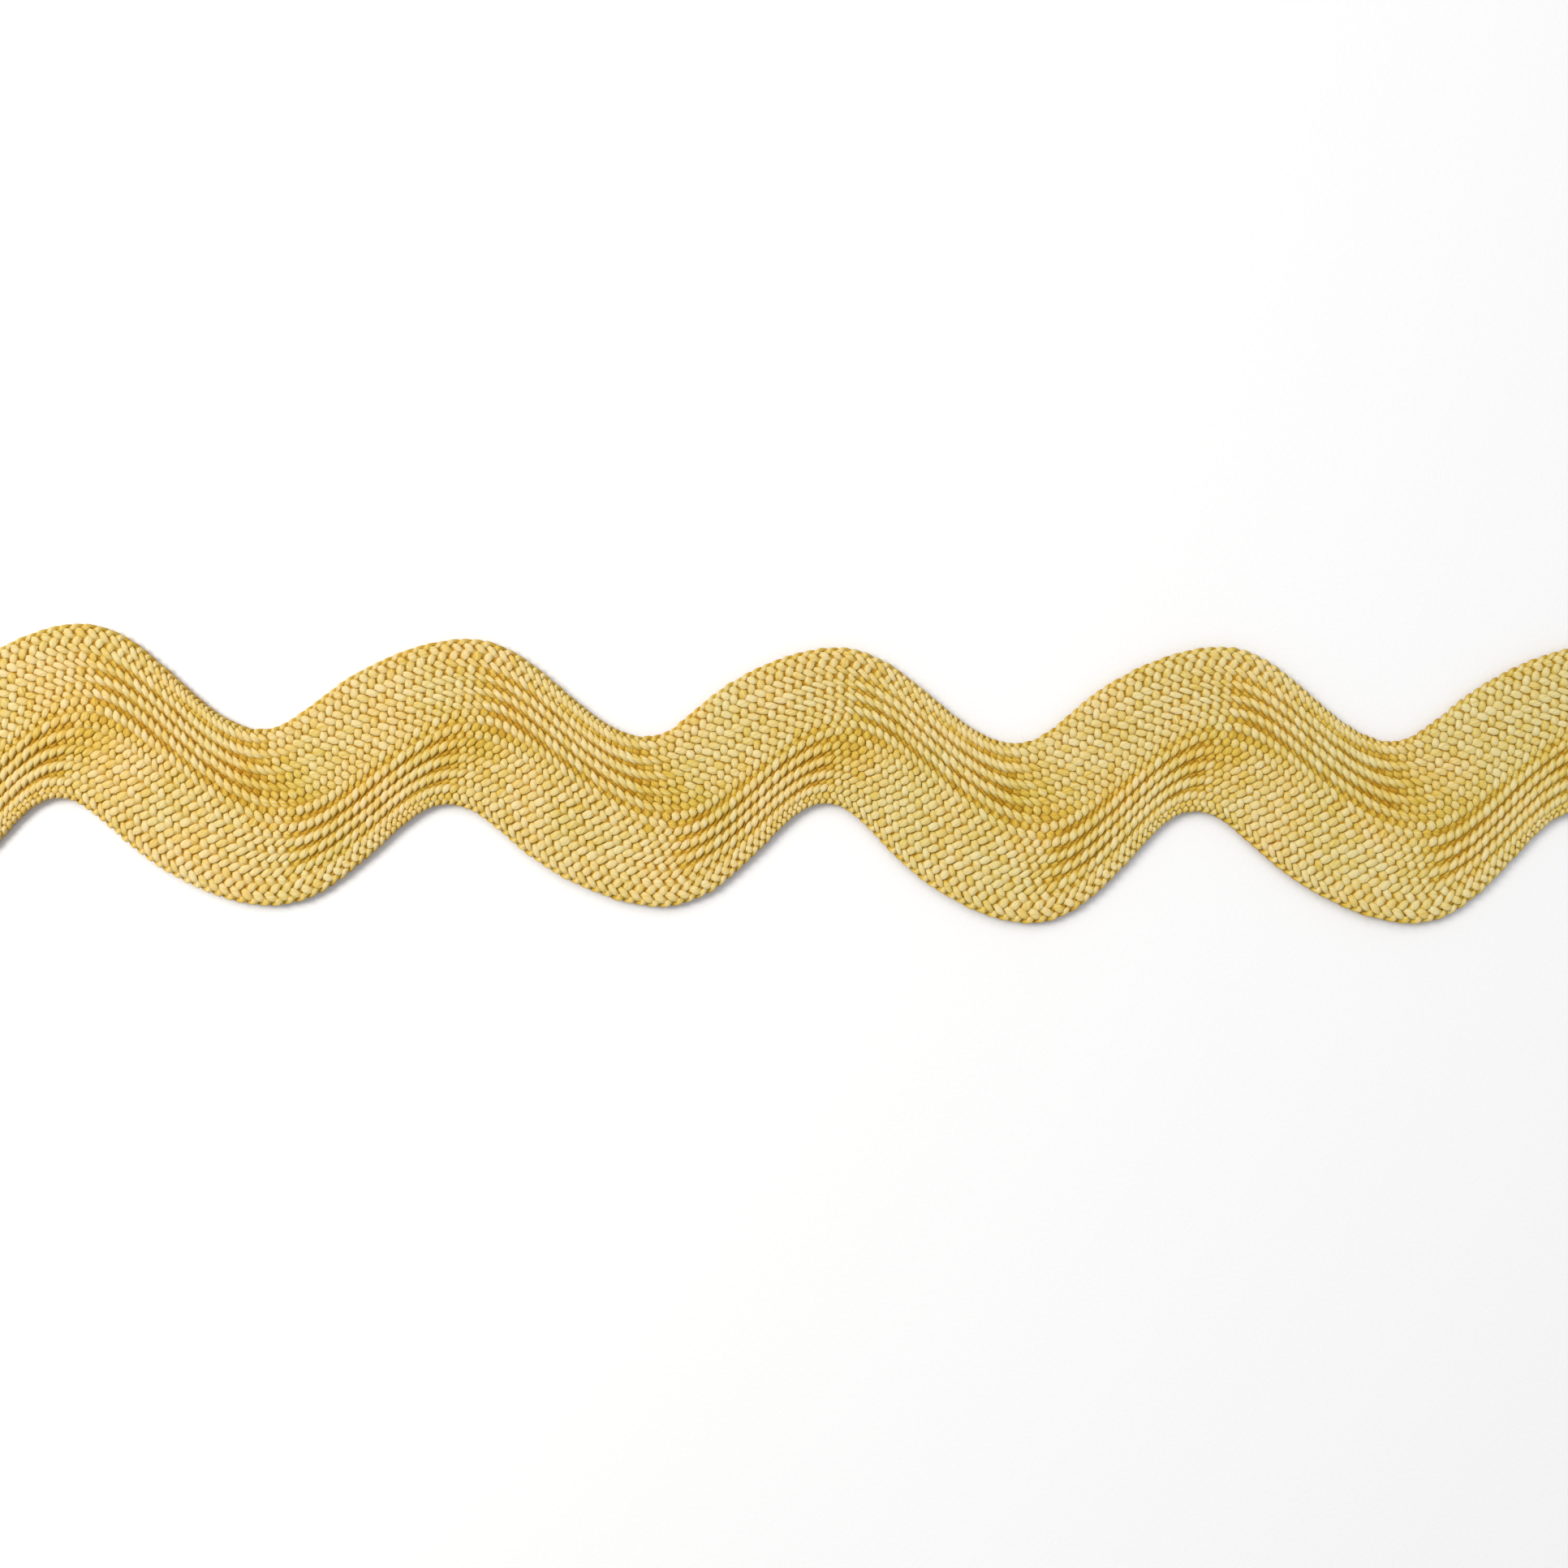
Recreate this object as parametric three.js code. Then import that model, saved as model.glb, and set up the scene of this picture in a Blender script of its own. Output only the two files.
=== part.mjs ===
import * as THREE from 'three';
import { ParametricGeometry } from 'three/addons/geometries/ParametricGeometry.js';
import { mergeGeometries, mergeVertices } from 'three/addons/utils/BufferGeometryUtils.js';

// A cut length of wide ric rac: one flat braid that swings from side to side in five waves.
// Millimetres. +X runs along the length, +Y towards the far edge and +Z up. The braid lies on
// z = 0, and the origin is the middle of its bounding box, at the underside.

// Body of the braid
const THICKNESS = 1.3; // from the underside to the valleys between the ribs
const RIBS = 11; // ribs that run along the top face
const LOW_RIB = 0.1; // rib height where the plait lies open
const HIGH_RIB = 0.3; // rib height where the swing crowds the ribs together
const CROWDING = 0.5; // how much closer the ribs lie on the crowded side of a flank
const STEPS_PER_FLANK = 12; // rings of points from one bend to the next

// Rounded rim of the section, from the underside up to the top face
const RIM = [
  { inset: 0.3, height: 0 },
  { inset: 0, height: 0.5 },
  { inset: 0.12, height: 1.0 },
];
const TOP_INSET = 0.4; // from the outermost point of the rim to the first valley

// The bends in order, valley, crest, valley and so on. Each row gives where the far edge and
// the near edge turn back, so that each wave is as uneven as in real braid.
const BENDS = [
  { farX: -87.4, farY: 4.0, nearX: -86.8, nearY: -11.9 },
  { farX: -69.9, farY: 13.6, nearX: -71.8, nearY: -2.0 },
  { farX: -53.2, farY: 3.9, nearX: -52.4, nearY: -11.9 },
  { farX: -34.2, farY: 12.2, nearX: -35.8, nearY: -2.6 },
  { farX: -17.7, farY: 3.2, nearX: -16.4, nearY: -12.0 },
  { farX: -0.2, farY: 11.4, nearX: -1.0, nearY: -2.5 },
  { farX: 16.4, farY: 2.6, nearX: 17.6, nearY: -13.5 },
  { farX: 35.1, farY: 11.5, nearX: 33.0, nearY: -3.2 },
  { farX: 51.0, farY: 2.8, nearX: 52.8, nearY: -13.5 },
  { farX: 70.0, farY: 11.6, nearX: 68.3, nearY: -3.2 },
  { farX: 85.9, farY: 2.8, nearX: 87.4, nearY: -13.6 },
];

// How far the middle of a flank lies from half way between its two bends, at each edge
const FLANK_SHIFT = {
  rising: { far: -2.1, near: 0.9 },
  falling: { far: 0.4, near: -2.2 },
};

const FLANKS = BENDS.length - 1;

// Stops every half flank along one edge: bend, middle of the flank, bend and so on.
function stopsAlong(edge) {
  const stops = [BENDS[0][`${edge}X`]];
  for (let flank = 0; flank < FLANKS; flank++) {
    const start = BENDS[flank][`${edge}X`];
    const end = BENDS[flank + 1][`${edge}X`];
    const shift = FLANK_SHIFT[flank % 2 === 0 ? 'rising' : 'falling'][edge];
    stops.push((start + end) / 2 + shift, end);
  }
  return stops;
}

// Smooth value at a place among evenly spaced stops (Catmull-Rom, straight beyond both ends).
function smoothThrough(stops, place) {
  const last = stops.length - 1;
  const index = Math.min(Math.floor(place), last - 1);
  const from = stops[index];
  const to = stops[index + 1];
  const before = index > 0 ? stops[index - 1] : 2 * from - to;
  const after = index + 1 < last ? stops[index + 2] : 2 * to - from;
  return new THREE.SplineCurve([
    new THREE.Vector2(before, 0),
    new THREE.Vector2(from, 0),
    new THREE.Vector2(to, 0),
    new THREE.Vector2(after, 0),
  ]).getPoint((1 + place - index) / 3).x;
}

// A point on one edge. The phase counts flanks from the first bend.
function edgePoint(edge, stops, phase) {
  const flank = Math.min(Math.floor(phase), FLANKS - 1);
  const turn = (1 - Math.cos(Math.PI * (phase - flank))) / 2;
  const y = THREE.MathUtils.lerp(BENDS[flank][`${edge}Y`], BENDS[flank + 1][`${edge}Y`], turn);
  return new THREE.Vector3(smoothThrough(stops, 2 * phase), y, 0);
}

// How steeply the braid falls: 1 half way down a falling flank, -1 half way up a rising one.
function fall(phase) {
  return -Math.sin(Math.PI * phase);
}

// Height of a rib at a share of the way across, 0 at the near edge and 1 at the far edge.
function ribHeight(phase, across) {
  const crowded = THREE.MathUtils.smoothstep(fall(phase) * (2 * across - 1), -0.3, 0.7);
  return THREE.MathUtils.lerp(LOW_RIB, HIGH_RIB, crowded);
}

// The section at a phase: shares of the way across, and heights, from the near rim to the far.
function sectionAt(phase, width) {
  const nearRim = RIM.map(({ inset, height }) => ({ across: inset / width, height }));
  const farRim = RIM.map(({ inset, height }) => ({ across: 1 - inset / width, height })).reverse();
  const top = [];
  for (let half = 0; half <= 2 * RIBS; half++) {
    const even = half / (2 * RIBS);
    const crowdedShare = even + CROWDING * fall(phase) * even * (1 - even);
    const across = THREE.MathUtils.lerp(TOP_INSET / width, 1 - TOP_INSET / width, crowdedShare);
    const isCrest = half % 2 === 1;
    top.push({ across, height: THICKNESS + (isCrest ? ribHeight(phase, across) : 0) });
  }
  return [...nearRim, ...top, ...farRim];
}

// One ring of points round the braid.
function ringAt(phase, stops) {
  const near = edgePoint('near', stops.near, phase);
  const far = edgePoint('far', stops.far, phase);
  return sectionAt(phase, near.distanceTo(far)).map(({ across, height }) => {
    const point = near.clone().lerp(far, across);
    point.z = height;
    return point;
  });
}

// The skin that joins all rings, an open tube until its ends are capped.
function skinGeometry(rings) {
  const around = rings[0].length;
  const along = rings.length - 1;
  const place = (turn, way, target) => {
    const ring = rings[Math.round(way * along)];
    target.copy(ring[Math.round((1 - turn) * around) % around]);
  };
  return new ParametricGeometry(place, around, along);
}

// A cut end: the flat section inside one ring, with its face turned out of the braid.
function cutEndGeometry(ring, isStart) {
  const outline = ring.map(({ y, z }) => new THREE.Vector2(y, z));
  const faces = THREE.ShapeUtils.triangulateShape(outline, []);
  const order = isStart ? [0, 2, 1] : [0, 1, 2];
  const corners = faces.flatMap((face) => order.map((corner) => ring[face[corner]]));
  return new THREE.BufferGeometry().setFromPoints(corners);
}

// One welded, closed mesh from the skin and its two cut ends.
function braidGeometry() {
  const stops = { near: stopsAlong('near'), far: stopsAlong('far') };
  const rings = [];
  for (let step = 0; step <= FLANKS * STEPS_PER_FLANK; step++) {
    rings.push(ringAt(step / STEPS_PER_FLANK, stops));
  }
  const skin = skinGeometry(rings).toNonIndexed();
  skin.deleteAttribute('normal');
  skin.deleteAttribute('uv');
  const ends = [cutEndGeometry(rings[0], true), cutEndGeometry(rings.at(-1), false)];
  const welded = mergeVertices(mergeGeometries([skin, ...ends]), 1e-5);
  welded.computeVertexNormals();
  return welded;
}

function strawYarn() {
  return new THREE.MeshStandardMaterial({ color: 0xd8c07c, roughness: 0.9, metalness: 0 });
}

const ricRac = new THREE.Group();
const braid = new THREE.Mesh(braidGeometry(), strawYarn());
braid.name = 'ric_rac_braid';
ricRac.add(braid);

export default ricRac;
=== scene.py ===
"""A cut length of wide ric rac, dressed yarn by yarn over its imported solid.

The braid is a flat plait of 45 yarns, each over two and under two, drawn from side to side
into waves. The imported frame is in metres, with +X along the braid, +Y towards its far edge
and +Z up. Sizes of the braid are held here in millimetres and made metres when a mesh is filled.
"""

from __future__ import annotations

import logging
import math
from dataclasses import dataclass, field
from enum import Enum

import bmesh
import bpy
import numpy as np
from mathutils import Matrix, Vector

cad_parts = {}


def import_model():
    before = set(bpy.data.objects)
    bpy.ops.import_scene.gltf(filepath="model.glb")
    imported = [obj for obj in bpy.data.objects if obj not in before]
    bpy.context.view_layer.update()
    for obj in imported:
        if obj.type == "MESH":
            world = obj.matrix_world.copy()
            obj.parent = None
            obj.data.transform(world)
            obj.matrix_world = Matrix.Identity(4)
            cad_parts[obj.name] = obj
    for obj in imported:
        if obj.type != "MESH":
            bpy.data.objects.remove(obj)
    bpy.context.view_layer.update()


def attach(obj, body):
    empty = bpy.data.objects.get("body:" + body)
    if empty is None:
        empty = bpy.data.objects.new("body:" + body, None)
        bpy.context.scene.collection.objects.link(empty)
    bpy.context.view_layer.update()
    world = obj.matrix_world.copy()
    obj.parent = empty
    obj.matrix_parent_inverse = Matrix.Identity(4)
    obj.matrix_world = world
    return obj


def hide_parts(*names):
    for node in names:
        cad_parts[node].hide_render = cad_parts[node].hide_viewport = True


LOG = logging.getLogger("ric_rac")

BRAID_NODE = "ric_rac_braid"
BODY = "root"
METRES_PER_MM = 0.001

# How far a place in a table stays from its end, so that the next entry can be read too.
TABLE_END = 1.001

Floats = np.ndarray
Colour = tuple[float, float, float, float]
Place = tuple[float, float, float]
Socket = bpy.types.NodeSocket

# Where a mix node has its colour sockets, which share their names with its other kinds.
MIX_FIRST = 6
MIX_SECOND = 7
MIX_RESULT = 2


class Edge(Enum):
    """The two edges of the braid, by the side of the origin that they lie on."""

    NEAR = 0
    FAR = 1


@dataclass(frozen=True)
class Bend:
    """Where the far and the near edge turn back at one bend, in millimetres."""

    far_x: float
    far_y: float
    near_x: float
    near_y: float

    def shifted(self, along: float) -> Bend:
        """The same bend moved along the braid."""
        return Bend(self.far_x + along, self.far_y, self.near_x + along, self.near_y)


# Valley, crest, valley and so on, from one cut end to the other.
BENDS = (
    Bend(-87.4, 4.0, -86.8, -11.9),
    Bend(-69.9, 13.6, -71.8, -2.0),
    Bend(-53.2, 3.9, -52.4, -11.9),
    Bend(-34.2, 12.2, -35.8, -2.6),
    Bend(-17.7, 3.2, -16.4, -12.0),
    Bend(-0.2, 11.4, -1.0, -2.5),
    Bend(16.4, 2.6, 17.6, -13.5),
    Bend(35.1, 11.5, 33.0, -3.2),
    Bend(51.0, 2.8, 52.8, -13.5),
    Bend(70.0, 11.6, 68.3, -3.2),
    Bend(85.9, 2.8, 87.4, -13.6),
)


def smoothstep(value: Floats, low: float, high: float) -> Floats:
    """A smooth rise from 0 at low to 1 at high."""
    share = np.clip((value - low) / (high - low), 0.0, 1.0)
    return share * share * (3.0 - 2.0 * share)


def flattened(wave: Floats) -> Floats:
    """A wave between -1 and 1 with broader tops and steeper crossings."""
    return 1.5 * wave - 0.5 * wave**3


def headings(paths: Floats) -> Floats:
    """The level direction of unit length in which each sample of some paths runs."""
    heading = np.gradient(paths[..., :2], axis=1)
    return heading / np.linalg.norm(heading, axis=-1, keepdims=True)


def leftwards(heading: Floats) -> Floats:
    """The level directions a quarter turn to the left."""
    return np.stack([-heading[..., 1], heading[..., 0]], axis=-1)


@dataclass
class Course:
    """The way that the braid takes over the surface.

    The phase counts flanks from the first bend, so it is a whole number at each bend. The
    share is 0 at the near edge and 1 at the far edge. The shifts say how far the middle of
    a flank lies along from half way, in millimetres, on the near and on the far edge.
    """

    bends: tuple[Bend, ...] = BENDS
    rising_shift: tuple[float, float] = (0.9, -2.1)
    falling_shift: tuple[float, float] = (-2.2, 0.4)
    crowding: float = 0.3
    spare: int = 1
    stops: list[Floats] = field(init=False)
    heights: list[Floats] = field(init=False)

    def __post_init__(self) -> None:
        """Carry the course one bend past both cut ends and list its stops."""
        first = self.bends[1].shifted(self.bends[0].far_x - self.bends[2].far_x)
        last = self.bends[-2].shifted(self.bends[-1].far_x - self.bends[-3].far_x)
        bends = (first, *self.bends, last)
        self.stops = []
        self.heights = []
        for edge in Edge:
            xs = [bend.near_x if edge is Edge.NEAR else bend.far_x for bend in bends]
            ys = [bend.near_y if edge is Edge.NEAR else bend.far_y for bend in bends]
            stops = [xs[0]]
            for flank, (start, end) in enumerate(zip(xs, xs[1:])):
                rises = (flank - self.spare) % 2 == 0
                shift = (self.rising_shift if rises else self.falling_shift)[edge.value]
                stops += [(start + end) / 2 + shift, end]
            self.stops.append(np.array(stops))
            self.heights.append(np.array(ys))

    @property
    def flanks(self) -> int:
        """The number of flanks between the two cut ends."""
        return len(self.bends) - 1

    def edge_point(self, edge: Edge, phase: Floats) -> Floats:
        """Points on one edge.

        Args:
            edge: which edge.
            phase: where along the braid.

        Returns:
            x and y in the last axis, in millimetres.
        """
        stops = self.stops[edge.value]
        place = 2.0 * (phase + self.spare)
        index = np.clip(np.floor(place).astype(int), 0, len(stops) - 2)
        part = place - index
        start, end = stops[index], stops[index + 1]
        before = np.where(index > 0, stops[np.maximum(index - 1, 0)], 2 * start - end)
        beyond = np.minimum(index + 2, len(stops) - 1)
        after = np.where(index + 2 < len(stops), stops[beyond], 2 * end - start)
        # A smooth curve through the stops, which needs the stops before and after too.
        x = 0.5 * (
            2 * start
            + (end - before) * part
            + (2 * before - 5 * start + 4 * end - after) * part**2
            + (3 * start - before - 3 * end + after) * part**3
        )
        heights = self.heights[edge.value]
        flank = np.clip(np.floor(phase + self.spare).astype(int), 0, len(heights) - 2)
        turn = (1.0 - np.cos(np.pi * (phase + self.spare - flank))) / 2.0
        y = heights[flank] + (heights[flank + 1] - heights[flank]) * turn
        return np.stack([x, y], axis=-1)

    def fall(self, phase: Floats) -> Floats:
        """1 half way down a falling flank, -1 half way up a rising one."""
        return -np.sin(np.pi * phase)

    def crest(self, phase: Floats) -> Floats:
        """1 at a crest, -1 in a valley."""
        return -np.cos(np.pi * phase)

    def place(self, phase: Floats, share: Floats) -> Floats:
        """Points between the edges, with the wales crowded on one side of each flank.

        Args:
            phase: where along the braid.
            share: the share of the way from near edge to far edge.

        Returns:
            x and y in the last axis, in millimetres.
        """
        swell = (1.0 - np.cos(2 * np.pi * share)) / (2 * np.pi)
        crowded = share + self.crowding * self.fall(phase) * swell
        near = self.edge_point(Edge.NEAR, phase)
        far = self.edge_point(Edge.FAR, phase)
        return near + (far - near) * crowded[..., None]


@dataclass
class Rows:
    """The rows of the plait, spaced evenly along each wale of the course.

    The bow, the slant and the curl say by how many rows a row is pulled out of straight:
    in its middle, at its edges, and half way between them. The margins are in flanks.
    """

    course: Course
    rows_per_flank: int = 46
    bow: float = 5.7
    bend_bow: float = 1.6
    slant: float = 7.5
    crest_slant: float = 2.6
    curl: float = 2.2
    crest_curl: float = 1.3
    margin: float = 0.9
    used_margin: float = 0.8
    phase_step: float = 0.005
    wale_count: int = 46
    table: Floats = field(init=False)
    first_row: float = field(init=False)

    def __post_init__(self) -> None:
        """Work out, for each row and wale, the phase that it lies at."""
        flanks = self.course.flanks
        phases = np.arange(-self.margin, flanks + self.margin, self.phase_step)
        shares = np.linspace(0.0, 1.0, self.wale_count)
        grid = self.course.place(*np.meshgrid(phases, shares, indexing="ij"))
        pace = np.linalg.norm(np.gradient(grid, self.phase_step, axis=0), axis=-1)
        travelled = np.cumsum(pace, axis=0)
        self.first_row = -self.used_margin * self.margin * self.rows_per_flank
        rows = np.arange(self.first_row, flanks * self.rows_per_flank - self.first_row)
        columns = []
        for wale in range(self.wale_count):
            start, end = np.interp([0.0, flanks], phases, travelled[:, wale])
            row_of = (travelled[:, wale] - start) / (end - start) * flanks * self.rows_per_flank
            columns.append(np.interp(rows, row_of, phases))
        self.table = np.stack(columns, axis=1)

    @property
    def count(self) -> int:
        """The number of rows from one cut end to the other."""
        return self.course.flanks * self.rows_per_flank

    def phase(self, row: Floats, share: Floats) -> Floats:
        """The phase that a row has reached at a share of the way across.

        Args:
            row: the number of the row.
            share: the share of the way from the near edge to the far edge.

        Returns:
            The phase, with the row bowed forwards and slanted as the flanks pull it.
        """
        flank = row / self.rows_per_flank
        fall, crest = self.course.fall(flank), self.course.crest(flank)
        bow = self.bow + self.bend_bow * np.cos(2 * np.pi * flank)
        slant = self.slant * fall + self.crest_slant * crest
        curl = self.curl * fall + self.crest_curl * crest
        drawn = row + bow * (np.sin(np.pi * share) ** 2 - 0.5)
        drawn += 0.5 * slant * np.sin(np.pi * (share - 0.5))
        drawn += 0.5 * curl * np.sin(2 * np.pi * share)
        down = np.clip(drawn - self.first_row, 0.0, self.table.shape[0] - TABLE_END)
        over = np.clip(share, 0.0, 1.0) * (self.table.shape[1] - TABLE_END)
        # The phase is read between the four nearest entries of the table.
        row_index = down.astype(int)
        wale_index = over.astype(int)
        row_part = down - row_index
        wale_part = over - wale_index
        first = self.table[row_index, wale_index] * (1 - wale_part)
        first += self.table[row_index, wale_index + 1] * wale_part
        second = self.table[row_index + 1, wale_index] * (1 - wale_part)
        second += self.table[row_index + 1, wale_index + 1] * wale_part
        return first * (1 - row_part) + second * row_part


@dataclass
class YarnPaths:
    """Sampled yarns: one row for each yarn and one column for each ring."""

    points: Floats
    half_width: Floats
    half_height: Floats
    depth: Floats
    tone: Floats
    travelled: Floats


@dataclass
class Trace:
    """Yarns followed through the plait.

    Each sample has its point in x and y, the height of the yarn's middle, the phase, the
    level from -1 underneath to 1 on top, and the gain, which is how much a ridge lifts it.
    """

    flat: Floats
    height: Floats
    phase: Floats
    level: Floats
    gain: Floats


@dataclass(frozen=True)
class Unevenness:
    """How much the yarns differ from even ones.

    The width and the height are shares of the yarn's own, the stray is in millimetres, and
    the spans and the lead before the first row are in rows.
    """

    width: float = 0.12
    height: float = 0.05
    stray: float = 0.055
    stray_span: float = 4.0
    span: float = 5.0
    tone_along: float = 0.6
    tone_of_yarn: float = 0.4
    lead: float = 5.0
    spare_knots: int = 12
    spread: float = 0.5

    def wander(self, random: np.random.Generator, step: Floats, span: float, rows: int) -> Floats:
        """Smooth random values along each yarn, about -1 to 1.

        Args:
            random: the source of chance.
            step: the row that each sample has reached, with a line for each yarn.
            span: the number of rows over which the values change.
            rows: the number of rows in the whole plait.

        Returns:
            A value for each sample.
        """
        count = int(rows / span) + self.spare_knots
        knots = random.normal(0.0, self.spread, (len(step), count))
        places = np.clip(step / span + self.lead, 0.0, count - TABLE_END)
        index = places.astype(int)
        part = smoothstep(places - index, 0.0, 1.0)
        yarns = np.arange(len(step))[:, None]
        return knots[yarns, index] * (1 - part) + knots[yarns, index + 1] * part


@dataclass(frozen=True)
class PlaitShade:
    """How much painted shade darkens some parts of the plait against the tops of its floats.

    The dive is for a yarn that goes under, the fold for the shade of the crease that runs
    through the bends, the valley for yarns between ridges and the relief for all that
    ridges move. All of it is painted shade.
    """

    dive: float = 0.8
    dive_range: tuple[float, float] = (-0.5, 1.0)
    fold: float = 0.27
    fold_width: float = 0.16
    fold_lean: float = 0.17
    valley: float = 0.5
    relief: float = 0.12


@dataclass
class Plait:
    """A flat plait in which each yarn goes over two and under two.

    On one half of each flank the yarns that run one way rise and bunch into ropes, here
    called ridges. The outer half keeps flat bricks. Heights and half sizes are in
    millimetres. Ranges across run from 0 in the middle of the tape to 1 at its edges.
    """

    course: Course
    rows: Rows
    columns: int = 45
    corner: float = 0.0009
    turn_column: float = 0.6
    edge_inset: tuple[float, float] = (-0.013, 0.002)
    steepening: float = 0.2
    steepening_skew: float = 0.25
    outer_range: tuple[float, float] = (-0.1, 0.3)
    outer_edge: tuple[float, float] = (0.7, 1.0)
    outer_ease: float = 0.35
    outer_reach: float = 0.17
    ridge_reach: float = 0.1
    lean_rate: float = 3.0
    middle_height: float = 0.62
    float_height: float = 0.31
    yarn_half_height: float = 0.27
    ridge_lift: float = 0.45
    ridge_sink: float = 0.65
    ridge_delay: float = 0.07
    ridge_drift: float = -0.06
    ridge_range: tuple[float, float] = (-0.16, 0.14)
    plain_edge: tuple[float, float] = (0.61, 0.94)
    ridge_width: float = 0.3
    fill: float = 1.14
    half_width_range: tuple[float, float] = (0.22, 0.4)
    crossing_squeeze: float = 0.12
    frayed: float = 0.03
    fray_range: tuple[float, float] = (-0.2, 1.0)
    end_samples: int = 400
    shade: PlaitShade = PlaitShade()
    uneven: Unevenness = Unevenness()
    seed: int = 7

    def column_and_side(self, step: Floats) -> tuple[Floats, Floats]:
        """Where a yarn lies across the plait, and which way it is going.

        Args:
            step: rows passed since the yarn last turned at the near edge.

        Returns:
            The column, and 1 for a yarn on its way to the far edge or -1 on its way back,
            with a smooth change at the turns.
        """
        angle = np.pi * step / self.columns
        cosine = (1.0 - self.corner) * np.cos(angle)
        column = self.columns / np.pi * np.arccos(cosine)
        side = (1.0 - self.corner) * np.sin(angle) / np.sqrt(1.0 - cosine**2)
        return column, side

    def share(self, column: Floats) -> Floats:
        """The even share of the way across at a column.

        Args:
            column: the column, counted from the near edge.

        Returns:
            The share, a little inside the edges, because a yarn has a width.
        """
        inner = (column - self.turn_column) / (self.columns - 2 * self.turn_column)
        near, far = self.edge_inset
        return near + (1.0 - near - far) * inner

    def over(self, column: Floats, lean: Floats, outer: Floats, ridge: Floats) -> Floats:
        """The level of a yarn on its way to the far edge: 1 on top and -1 underneath.

        Args:
            column: how far across the plait it is.
            lean: 1 on a falling flank and -1 on a rising one.
            outer: how much it lies on the brick half of the flank.
            ridge: how much it lies on the rope half of the flank.

        Returns:
            The level, rounded on the ropes and flat elsewhere.
        """
        wave = np.cos(np.pi * (column - 0.5) / 2.0)
        wave += lean * (self.outer_reach * outer - self.ridge_reach * ridge)
        wave = np.clip(wave, -1.0, 1.0)
        round_over = flattened(wave)
        flat_over = flattened(flattened(round_over))
        return flat_over + (round_over - flat_over) * ridge

    def trace(self, yarn: Floats, step: Floats) -> Trace:
        """Follow yarns through the plait.

        Args:
            yarn: the number of each yarn.
            step: the row that each sample has reached.

        Returns:
            The middle line of each yarn, with its level and gain.
        """
        column, side = self.column_and_side(step + 2.0 * yarn)
        share = self.share(column)
        near_phase = self.rows.phase(step, share)
        fall = self.course.fall(near_phase - self.ridge_delay)
        inward = 2.0 * (share - self.ridge_drift * self.course.crest(near_phase)) - 1.0
        ridge = smoothstep(fall * inward, *self.ridge_range)
        ridge *= 1.0 - smoothstep(np.abs(inward), *self.plain_edge)
        outer = smoothstep(-fall * inward, *self.outer_range)
        outer *= 1.0 - smoothstep(np.abs(inward), *self.outer_edge)
        swing = np.pi * (column - 0.5)
        steepening = self.steepening * (1.0 - self.outer_ease * outer)
        row = step - side * steepening * (np.sin(swing) - self.steepening_skew * np.sin(2 * swing))
        phase = self.rows.phase(row, share)
        lean = np.tanh(self.lean_rate * fall)
        gain = -side * lean * ridge
        level = side * self.over(column, lean, outer, ridge)
        lift = np.where(gain > 0, self.ridge_lift, self.ridge_sink) * gain
        rise = np.where(level > 0, 1.0 + lift, 1.0)
        height = self.middle_height + self.float_height * level * rise
        return Trace(self.course.place(phase, share), height, phase, level, gain)

    def ends(self, random: np.random.Generator) -> tuple[Floats, Floats]:
        """The first and last step of each yarn, where the two cuts end it.

        Args:
            random: the source of chance.

        Returns:
            The first steps and the last steps, with a little fray.
        """
        yarn = np.arange(self.columns)[:, None]
        reach = self.rows.bow + self.rows.rows_per_flank / 4
        starts = np.linspace(-reach, reach, self.end_samples)[None, :] + np.zeros_like(yarn)
        stops = starts + self.rows.count
        start_phase = self.trace(yarn, starts).phase
        stop_phase = self.trace(yarn, stops).phase
        fray = random.uniform(*self.fray_range, (2, self.columns)) * self.frayed
        first = [
            np.interp(-loose, phases, steps)
            for loose, phases, steps in zip(fray[0], start_phase, starts)
        ]
        last = [
            np.interp(self.course.flanks + loose, phases, steps)
            for loose, phases, steps in zip(fray[1], stop_phase, stops)
        ]
        return np.array(first), np.array(last)

    def spacing(self, step: Floats, across: Floats, heading: Floats) -> Floats:
        """The gap from each yarn to the next one on its side, square to the way it runs.

        Args:
            step: the row that each sample has reached.
            across: the share of the way across.
            heading: the level direction in which the yarn runs.

        Returns:
            The gap in millimetres.
        """
        next_row = self.course.place(self.rows.phase(step + 1.0, across), across)
        this_row = self.course.place(self.rows.phase(step, across), across)
        pitch = 2.0 * (next_row - this_row)
        return np.abs(heading[..., 0] * pitch[..., 1] - heading[..., 1] * pitch[..., 0])

    def depth(self, line: Trace, across: Floats) -> Floats:
        """How much painted shade each sample gets: 0 on the tops of the floats and 1 in the
        crevices.

        Args:
            line: the yarns followed through the plait.
            across: the share of the way across.

        Returns:
            The depth, which the material turns into painted shade.
        """
        shade = self.shade
        top = self.middle_height + self.float_height
        # Painted shade: a yarn grows darker as it dives under the others.
        depth = np.clip((top - line.height) / (2 * self.float_height), *shade.dive_range)
        depth *= shade.dive
        # Painted shade along the crease that runs through the bends.
        crest = self.course.crest(line.phase - self.ridge_delay)
        off_fold = (across - 0.5 + shade.fold_lean * crest) / shade.fold_width
        depth += shade.fold * np.exp(-(off_fold**2)) * crest**2
        # Painted shade between ridges and wherever ridges move the yarns.
        depth += shade.valley * np.maximum(-line.gain, 0.0) + shade.relief * np.abs(line.gain)
        return depth

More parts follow.
